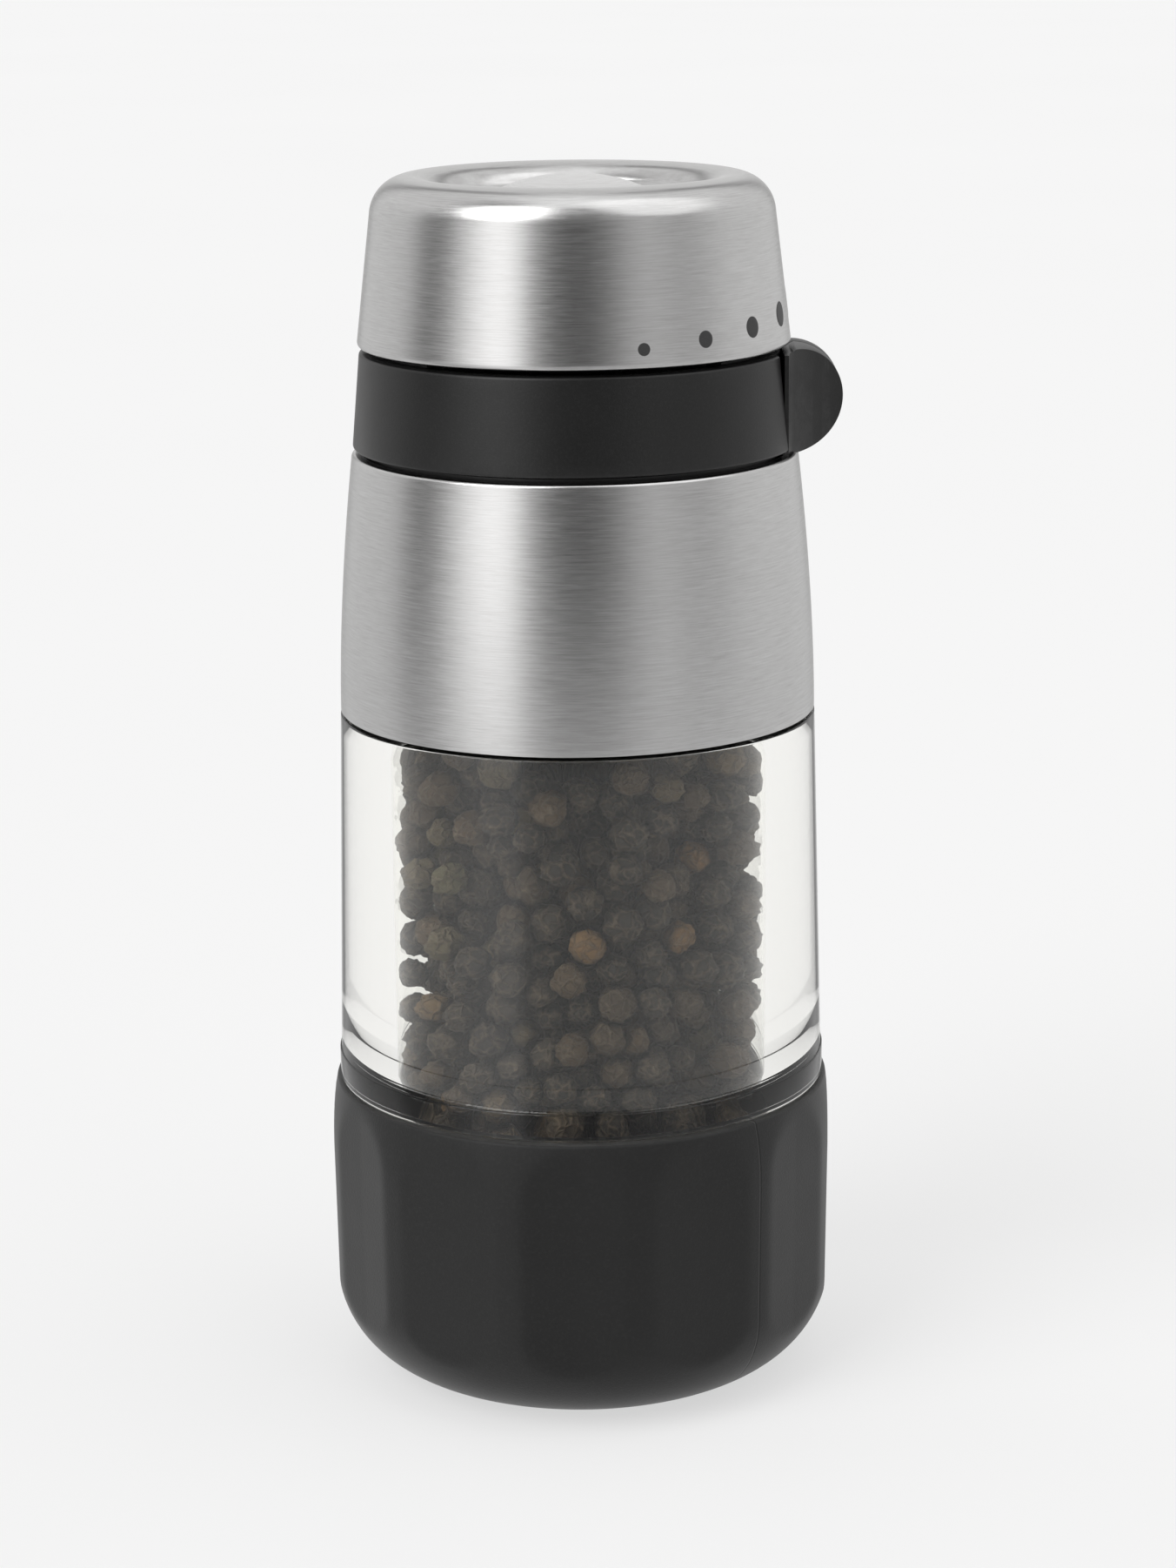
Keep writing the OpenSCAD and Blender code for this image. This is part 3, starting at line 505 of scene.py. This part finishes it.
def dome():
    shell, edge = 0.8 * MM, 0.3 * MM
    rise = 2.3 * MM
    crown_r = (DOME_R ** 2 + rise ** 2) / (2 * rise)
    sweep = math.degrees(math.asin((DOME_R - edge) / crown_r))
    sleeve_r, foot_z = DOME_R - 3.1 * MM, low("dome").z
    edge_z = DOME_Z - rise
    outline = arc(0, DOME_Z - crown_r, crown_r, 90, 90 - sweep, 20)
    outline += arc(DOME_R - edge, edge_z - 0.12 * MM, edge, 60, -80, 7)
    outline += [(DOME_R - shell, edge_z - 0.5 * MM), (sleeve_r, edge_z - 0.5 * MM), (sleeve_r, foot_z)]
    outline += [(sleeve_r - 1 * MM, foot_z), (sleeve_r - 1 * MM, edge_z - 0.4 * MM)]
    outline += [(0, edge_z - 0.4 * MM + rise - shell)]
    add_object("dome_shell", revolve(outline, 128), DOME_STEEL, "head", "dome")


def size_marks():
    """Five enamel dots that follow the cap's side, each a little larger and higher than the last."""
    marks, step, first_d, growth = 5, 18, 1.5 * MM, 0.5 * MM
    first_z, rise = CAP_Z + 2.35 * MM, 0.63 * MM
    proud, sink = 0.03 * MM, 0.2 * MM
    bm = bmesh.new()
    for i in range(marks):
        turn = math.radians((i - marks + 1) * step)
        radius = (first_d + growth * i) / 2
        z0 = first_z + rise * i

        def point(share, a, depth):
            across = radius * share * math.cos(a)
            z = z0 + radius * share * math.sin(a)
            r = cap_side_r(z) + depth
            bend = turn + across / r
            return bm.verts.new((r * math.cos(bend), r * math.sin(bend), z))

        rings = [(1.0, -sink), (1.0, proud * 0.3), (0.97, proud), (0.7, proud), (0.35, proud)]
        n = 40
        loops = [[point(s, 2 * math.pi * k / n, d) for k in range(n)] for s, d in rings]
        for inner, outer in zip(loops[1:], loops):
            for k in range(n):
                bm.faces.new((outer[k], outer[(k + 1) % n], inner[(k + 1) % n], inner[k]))
        bm.faces.new(loops[-1])
        bm.faces.new(reversed(loops[0]))
    add_object("size_marks", bm, ENAMEL, "head", "grind_marks")


# ------------------------------------------------------------------ size ring and its tab

def ring_band():
    soft = 0.4 * MM
    top_r = BAND_R - BAND_DRAW
    gap = 0.1 * MM
    outline = [(BAND_IN_R, BAND_Z)] + arc(BAND_R - soft, BAND_Z + soft, soft, -90, 4, 5)
    outline += line(outline[-1], (top_r, BAND_TOP_Z - soft), 8)[1:]
    outline += arc(top_r - soft, BAND_TOP_Z - soft, soft, 4, 90, 5) + [(BAND_IN_R, BAND_TOP_Z)]
    bm = revolve(outline, 176, lambda r: math.asin((TAB_BACK + gap) / r),
                 lambda r: 2 * math.pi + math.asin((TAB_Y - gap) / r))
    add_object("band_cover", bm, BAND, "size_ring", "ring_band")


def tab_outline():
    """The tab seen across the ring: band stretch and round lobe, as (x, z) points."""
    half = (BAND_TOP_Z - BAND_Z) / 2
    mid_z = BAND_Z + half
    lobe_r = half + 0.3 * MM
    lobe_x = TAB_X - lobe_r
    neck_x = BAND_R - BAND_DRAW
    outline = [(BAND_IN_R, mid_z - half), (neck_x, mid_z - half)]
    outline += arc(lobe_x, mid_z, lobe_r, -88, 88, 44)
    return outline + [(neck_x, mid_z + half), (BAND_IN_R, mid_z + half)]


def scoop_y(x, z):
    """Front face of the tab: level with the band at the seam, then hollowed out to the lobe's tip."""
    lean = BAND_DRAW * ((z - BAND_Z) / (BAND_TOP_Z - BAND_Z) - 0.5)
    middle_r = BAND_R - BAND_DRAW / 2
    seam_x = math.sqrt(middle_r ** 2 - TAB_Y ** 2)
    tip_y = TAB_SPLIT[0] - TIP_T
    run, fall = TAB_X - seam_x, tip_y - TAB_Y
    chord = math.hypot(run, fall)
    rise = math.sqrt(SCOOP_R ** 2 - chord ** 2 / 4)
    centre_x = (seam_x + TAB_X) / 2 + rise * fall / chord
    centre_y = (TAB_Y + tip_y) / 2 - rise * run / chord
    reach = SCOOP_R + lean
    across = min(max(x, seam_x - lean), TAB_X) - centre_x
    return centre_y + math.sqrt(max(reach ** 2 - across ** 2, 0.0))


def tab_layer(name, node, y0, y1, soft, scooped):
    """One layer of the tab with soft edges. The front one has its face hollowed for the thumb."""
    outline = tab_outline()
    xs = [BAND_IN_R + (TAB_X - BAND_IN_R) * i / 30 for i in range(1, 30)]
    bm = bmesh.new()
    front = [bm.verts.new((x, y0, z)) for x, z in outline]
    back = [bm.verts.new((x, y1, z)) for x, z in outline]
    bm.faces.new(front)
    bm.faces.new(reversed(back))
    n = len(outline)
    for i in range(n):
        bm.faces.new((front[i], back[i], back[(i + 1) % n], front[(i + 1) % n]))
    for x in xs:
        everything = bm.verts[:] + bm.edges[:] + bm.faces[:]
        bmesh.ops.bisect_plane(bm, geom=everything, plane_co=(x, 0, 0), plane_no=(1, 0, 0))
    if scooped:
        for v in bm.verts:
            if v.co.y < y0 + 1e-6 and v.co.x > BAND_IN_R + 0.5 * MM:
                v.co.y = max(y0, scoop_y(v.co.x, v.co.z))
    bm.normal_update()
    rims = [e for e in bm.edges if len(e.link_faces) == 2 and e.calc_face_angle(0) > math.radians(40)]
    bmesh.ops.bevel(bm, geom=rims, offset=soft, segments=4, profile=0.5, affect="EDGES", clamp_overlap=True)
    add_object(name, bm, BAND, "size_ring", node, sharp=50)


# ------------------------------------------------------------------ base and chamber

def grip_side(z):
    """Outer radius of the lands and of the flutes' middles at a height."""
    arch_z, arch = 29.5 * MM, 0.95 * MM
    lean = 0.25 * MM * max(0.0, min(1.0, (arch_z - z) / (17 * MM)))
    land, flute = LAND_R - lean, FLUTE_R - lean
    if z < FOOT_ROUND:
        land = LAND_R - lean - FOOT_ROUND + math.sqrt(FOOT_ROUND ** 2 - (FOOT_ROUND - z) ** 2)
    if z > arch_z:
        land -= arch * ((z - arch_z) / (GRIP_TOP_Z - arch_z)) ** 2.4
    return land, flute


def soft_min(a, b, reach):
    """The smaller of two radii, with their meeting edge rounded."""
    h = max(reach - abs(a - b), 0.0) / reach
    return min(a, b) - h * h * reach / 4


def grip_sleeve():
    """Twelve shallow flutes with soft edges between narrow lands, over a rounded foot."""
    per_flute, dish = 32, 0.09 * MM
    steps = per_flute * FLUTES
    edge = 0.35 * MM
    bottom_r = LAND_R - FOOT_ROUND + math.sqrt(FOOT_ROUND ** 2 - (FOOT_ROUND - GRIP_Z) ** 2)
    start = -math.degrees(math.acos((bottom_r - LAND_R + FOOT_ROUND) / FOOT_ROUND))
    heights = [FOOT_ROUND + FOOT_ROUND * math.sin(math.radians(start * (1 - i / 22))) for i in range(23)]
    heights += [FOOT_ROUND + (GRIP_TOP_Z - edge - FOOT_ROUND) * (i / 26) for i in range(1, 27)]
    inner_r = CORE_R + 0.1 * MM
    round_r = LAND_R - FOOT_ROUND
    inside = [(inner_r, GRIP_TOP_Z), (inner_r, FOOT_ROUND)]
    inside += arc(round_r, FOOT_ROUND, inner_r - round_r, -9, -90, 9)
    inside += [(PAD_R + 0.3 * MM, FOOT_ROUND - (inner_r - round_r)), (PAD_R + 0.3 * MM, GRIP_Z)]
    bm = bmesh.new()
    rings = []
    for i in range(steps):
        a = 2 * math.pi * i / steps
        off = (a % (2 * math.pi / FLUTES)) - math.pi / FLUTES
        spot = a + FLUTE_TURN
        ring = []
        for z in heights:
            land, flute = grip_side(z)
            flat = flute / math.cos(off) - dish * (1 - abs(off) / (math.pi / FLUTES))
            r = soft_min(land, flat, 0.16 * MM)
            ring.append(bm.verts.new((r * math.cos(spot), r * math.sin(spot), z)))
        last = r
        for share in (35, 65, 90):
            turn = math.radians(share)
            r = last - edge + edge * math.cos(turn)
            z = GRIP_TOP_Z - edge + edge * math.sin(turn)
            ring.append(bm.verts.new((r * math.cos(spot), r * math.sin(spot), z)))
        for r, z in inside:
            ring.append(bm.verts.new((r * math.cos(spot), r * math.sin(spot), z)))
        rings.append(ring)
    n = len(rings[0])
    for i in range(steps):
        here, after = rings[i], rings[(i + 1) % steps]
        for j in range(n):
            k = (j + 1) % n
            bm.faces.new((here[j], after[j], after[k], here[k]))
    add_object("fluted_grip", bm, GRIP, "chamber", "grip_sleeve", sharp=50)


def chamber_tube():
    """Thick clear cup: skirt in the base, foot flange, drawn-in side, neck, mouth lead-in and bore."""
    soft = 0.25 * MM
    skirt_r = CORE_R - 2.1 * MM
    foot_r = FLANGE_R - FLANGE_PROUD
    round_r = LAND_R - FOOT_ROUND
    edge_r = skirt_r - round_r
    start = math.degrees(math.asin(max(-1, (TUBE_Z - FOOT_ROUND) / edge_r)))
    neck_r = MOUTH_R + 2 * MM
    flange_z = SEAT_Z + FLANGE_H
    floor_round = 2 * MM
    outline = [(0, TUBE_Z)] + arc(round_r, FOOT_ROUND, edge_r, start, 0, 8)
    outline += line(outline[-1], (skirt_r, SEAT_Z), 12)[1:] + [(skirt_r, SEAT_Z)]
    outline += arc(FLANGE_R - soft, SEAT_Z + soft, soft, -90, 0, 4)
    outline += arc(FLANGE_R - soft * 0.8, flange_z - soft * 0.8, soft * 0.8, 0, 80, 4)
    outline += line((foot_r, flange_z + 0.12 * MM), (CHAMBER_TOP_R, SHOULDER_Z - soft), 24)
    outline += arc(CHAMBER_TOP_R - soft, SHOULDER_Z - soft, soft, 0, 90, 4)
    outline += [(neck_r + soft, SHOULDER_Z), (neck_r, SHOULDER_Z + soft), (neck_r, NECK_Z - soft)]
    outline += [(neck_r - soft, NECK_Z), (MOUTH_R + soft, NECK_Z)]
    outline += line((MOUTH_R, NECK_Z - soft), (MOUTH_R, COLLAR_Z + MOUTH_LEAD), 10)
    outline += line((MOUTH_R, COLLAR_Z + MOUTH_LEAD), (BORE_R, COLLAR_Z - MOUTH_LEAD), 6)
    outline += line((BORE_R, COLLAR_Z - MOUTH_LEAD), (BORE_R, CHAMBER_FLOOR_Z + floor_round), 48)
    outline += arc(BORE_R - floor_round, CHAMBER_FLOOR_Z + floor_round, floor_round, 0, -90, 8)
    outline += [(0, CHAMBER_FLOOR_Z)]
    add_object("clear_chamber", revolve(outline), ACRYLIC, "chamber", "chamber_tube", sharp=40)


# ------------------------------------------------------------------ peppercorns

def settle(places, radii, rounds):
    """Pushes overlapping balls apart inside the bore, off the floor and off the feed cone."""
    press, push, sink, clear = 0.97, 0.45, 0.02 * MM, 0.08 * MM
    for _ in range(rounds):
        gap = places[:, None, :] - places[None, :, :]
        far = np.sqrt((gap ** 2).sum(axis=2)) + 1e-9
        overlap = np.clip(press * (radii[:, None] + radii[None, :]) - far, 0, None)
        np.fill_diagonal(overlap, 0)
        places += push * ((overlap / far)[:, :, None] * gap).sum(axis=1)
        places[:, 2] -= sink
        reach = np.hypot(places[:, 0], places[:, 1])
        limit = BORE_R - clear - radii
        scale = np.where(reach > limit, limit / np.maximum(reach, 1e-9), 1.0)
        places[:, 0] *= scale
        places[:, 1] *= scale
        places[:, 2] = np.clip(places[:, 2], CHAMBER_FLOOR_Z + radii, COLLAR_Z - 0.2 * MM - radii * 0.4)
        cone_off = np.hypot(places[:, 0], places[:, 1])
        in_cone = (places[:, 2] > CONE_Z - 3 * MM) & (cone_off < CONE_R)
        places[in_cone, 2] = CONE_Z - 3.2 * MM
    return places


def wrinkled(bm, centre, radius, level, turn, salt):
    """One dried corn: a slightly flattened ball with folds pressed into its skin."""
    flat = Matrix.Diagonal((1.0, draw.uniform(0.88, 1.0), draw.uniform(0.86, 1.0), 1.0))
    spin = Matrix.Rotation(turn[0], 4, "X") @ Matrix.Rotation(turn[1], 4, "Z")
    ball = bmesh.ops.create_icosphere(bm, subdivisions=level, radius=1.0)["verts"]
    for v in ball:
        way = v.co.normalized()
        fold = abs(noise.noise(way * 2.3 + salt)) + 0.6 * abs(noise.noise(way * 4.6 + salt))
        v.co = way * (0.95 + 0.3 * (0.42 - min(0.9, fold * 1.6)))
        v.co = spin @ (flat @ v.co) * radius + centre


def peppercorns():
    """Settled corns, with a trough drained in front of the feed cone."""
    count = 1250
    rounds = 45
    small_r, big_r = 1.95, 2.6
    trough_slope, trough_half, trough_back = 1.15, 2 * MM, 4 * MM
    wall_layer, hidden_below = 7.5 * MM, SEAT_Z - 9 * MM
    radii = draw.uniform(small_r, big_r, count) * MM
    turn = draw.uniform(0, 2 * math.pi, count)
    off = np.sqrt(draw.uniform(0, 1, count)) * (BORE_R - 2.4 * MM)
    height = draw.uniform(CHAMBER_FLOOR_Z + 2 * MM, COLLAR_Z - 1 * MM, count)
    places = settle(np.stack([off * np.cos(turn), off * np.sin(turn), height], axis=1), radii, rounds)
    drained = np.abs(places[:, 0]) < trough_slope * (places[:, 2] - CONE_Z) + trough_half
    drained &= (places[:, 2] > CONE_Z) & (places[:, 1] < trough_back)
    kept = ~drained
    places, radii = places[kept], radii[kept]
    near = np.hypot(places[:, 0], places[:, 1]) > BORE_R - wall_layer
    shown = near & (places[:, 2] > hidden_below)
    for name, chosen, level in (("peppercorns_wall", shown, 3), ("peppercorns_core", ~shown, 2)):
        bm = bmesh.new()
        for place, radius in zip(places[chosen], radii[chosen]):
            lie = draw.uniform(0, 6.28, 2)
            salt = Vector(draw.uniform(-40, 40, 3))
            wrinkled(bm, Vector(place), radius, level, lie, salt)
        mesh = bpy.data.meshes.new(name)
        bm.to_mesh(mesh)
        bm.free()
        mesh.shade_smooth()
        piece = bpy.data.objects.new(name, mesh)
        scene.collection.objects.link(piece)
        mesh.materials.append(CORN)
        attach(piece, "chamber")


# ------------------------------------------------------------------ carried-over nodes

KEPT = {
    "base_core": BLACK, "foot_pad": RUBBER, "base_screws": BRIGHT, "drive_plug": BLACK, "plug_seal": RUBBER,
    "drive_shaft": SHAFT, "feed_cone": BLACK, "inner_burr": CERAMIC, "thrust_washer": ACETAL,
    "shaft_clip": BRIGHT, "head_frame": BLACK, "cap_core": BLACK, "shaft_bush": BRONZE, "core_screws": BRIGHT,
    "click_leaf": BRIGHT, "adjuster_ring": BLACK, "burr_carrier": BLACK, "outer_burr": CERAMIC,
    "burr_retainer": BRIGHT,
}


def dress_kept_nodes():
    for node, material in KEPT.items():
        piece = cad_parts[node]
        piece.data.materials.clear()
        piece.data.materials.append(material)


# ------------------------------------------------------------------ camera, floor and light

def camera():
    """Long lens a little above the mill, looking down at it with a slight lean."""
    data = bpy.data.cameras.new("camera")
    data.lens, data.sensor_width = 86.5, 36
    data.clip_start = 0.01
    made = bpy.data.objects.new("camera", data)
    scene.collection.objects.link(made)
    made.location = (0, -0.456, 0.1885)
    tip, pan, lean = math.radians(90 - 14.04), math.radians(-0.15), math.radians(-0.56)
    made.rotation_mode = "QUATERNION"
    turn = Matrix.Rotation(pan, 4, "Z") @ Matrix.Rotation(tip, 4, "X") @ Matrix.Rotation(lean, 4, "Z")
    made.rotation_quaternion = turn.to_quaternion()
    scene.camera = made


def studio_floor():
    made, t, shader = finish("studio_floor", Roughness=1.0, Specular_IOR_Level=0.0, Emission_Strength=0.655)
    place = t.add("ShaderNodeTexCoord").outputs["Object"]
    cloud = t.noise(place, 3.0, 2.0, 0.5)
    t.wire(t.blend(cloud, grey(0.30), grey(0.31)), shader.inputs["Base Color"])
    t.wire(t.blend(cloud, grey(0.925), grey(0.935)), shader.inputs["Emission Color"])
    mesh = bpy.data.meshes.new("studio_floor")
    reach = 6.0
    mesh.from_pydata([(-reach, -reach, 0), (reach, -reach, 0), (reach, reach, 0), (-reach, reach, 0)], [],
                     [(0, 1, 2, 3)])
    floor = bpy.data.objects.new("studio_floor", mesh)
    scene.collection.objects.link(floor)
    mesh.materials.append(made)
    floor.visible_glossy = False


def studio_room():
    """Pale room whose walls differ in brightness, so that the steel shows soft upright bands."""
    world = bpy.data.worlds.new("studio_room")
    scene.world = world
    world.use_nodes = True
    t = Tree(world.node_tree)
    back = world.node_tree.nodes["Background"]
    way = t.add("ShaderNodeTexCoord").outputs["Generated"]
    axes = t.add("ShaderNodeSeparateXYZ")
    t.wire(way, axes.inputs[0])
    bearing = t.math("ARCTAN2", axes.outputs[0], t.math("MULTIPLY", axes.outputs[1], -1.0))
    share = t.spread(bearing, -math.pi, math.pi)
    peak, ceiling, pale = 1.7, 1.1, 0.93
    # Bearing in degrees and brightness. 0 is the camera's side and positive bearings are to its right.
    walls = [(-180, 0.78), (-168, 0.78), (-161, 0.2), (-152, 0.78), (-121, 0.75), (-99, 0.7),
             (-88, 0.12), (-77, 0.12), (-67, 0.5), (-56, 1.15), (-46, 1.65), (-31, 1.65),
             (-25, 0.55), (-17, 0.2), (-6, 0.08), (6, 0.08), (18, 0.2), (30, 0.5), (41, 0.66),
             (58, 0.46), (72, 0.5), (88, 0.7), (110, 0.76), (152, 0.78), (161, 0.2), (168, 0.78),
             (180, 0.78)]
    wall = t.ramp(share, [((a + 180) / 360, grey(v / peak, 0.003)) for a, v in walls])
    wall = t.blend(t.spread(axes.outputs[2], 0.0, -0.22, 0.0, 0.55), wall, grey(0.64 / peak))
    above = t.spread(axes.outputs[2], 0.86, 0.99)
    sides = t.spread(t.math("ABSOLUTE", axes.outputs[0]), 0.24, 0.5)
    room = t.blend(above, wall, t.blend(sides, grey(ceiling / peak), grey(0.15 / peak)))
    path = t.add("ShaderNodeLightPath").outputs
    through = t.math("MULTIPLY", path["Is Transmission Ray"], t.math("LESS_THAN", path["Diffuse Depth"], 0.5))
    seen = t.math("MAXIMUM", path["Is Camera Ray"], through)
    t.wire(t.blend(seen, room, grey(pale / peak)), back.inputs["Color"])
    back.inputs["Strength"].default_value = peak


def soft_sun(name, turn, climb, spread, power):
    """Even soft light over the whole floor from one side. Angles in degrees."""
    data = bpy.data.lights.new(name, "SUN")
    data.angle = math.radians(spread)
    data.energy = power
    lamp = bpy.data.objects.new(name, data)
    scene.collection.objects.link(lamp)
    way = Vector((math.sin(math.radians(turn)), -math.cos(math.radians(turn)), math.tan(math.radians(climb))))
    lamp.location = way
    lamp.rotation_mode = "QUATERNION"
    lamp.rotation_quaternion = way.to_track_quat("Z", "Y")


steel_collar()
top_cap()
dome()
size_marks()
ring_band()
tab_layer("tab_front", "thumb_tab", TAB_Y, TAB_SPLIT[0], 0.28 * MM, True)
tab_layer("tab_back", "tab_plate", TAB_SPLIT[1], TAB_BACK, 0.28 * MM, False)
grip_sleeve()
chamber_tube()
peppercorns()
dress_kept_nodes()
camera()
studio_floor()
studio_room()
soft_sun("left_softbox", -50, 45, 40, 1.0)
soft_sun("right_softbox", 70, 55, 50, 0.4)
scene.view_settings.view_transform = "Standard"
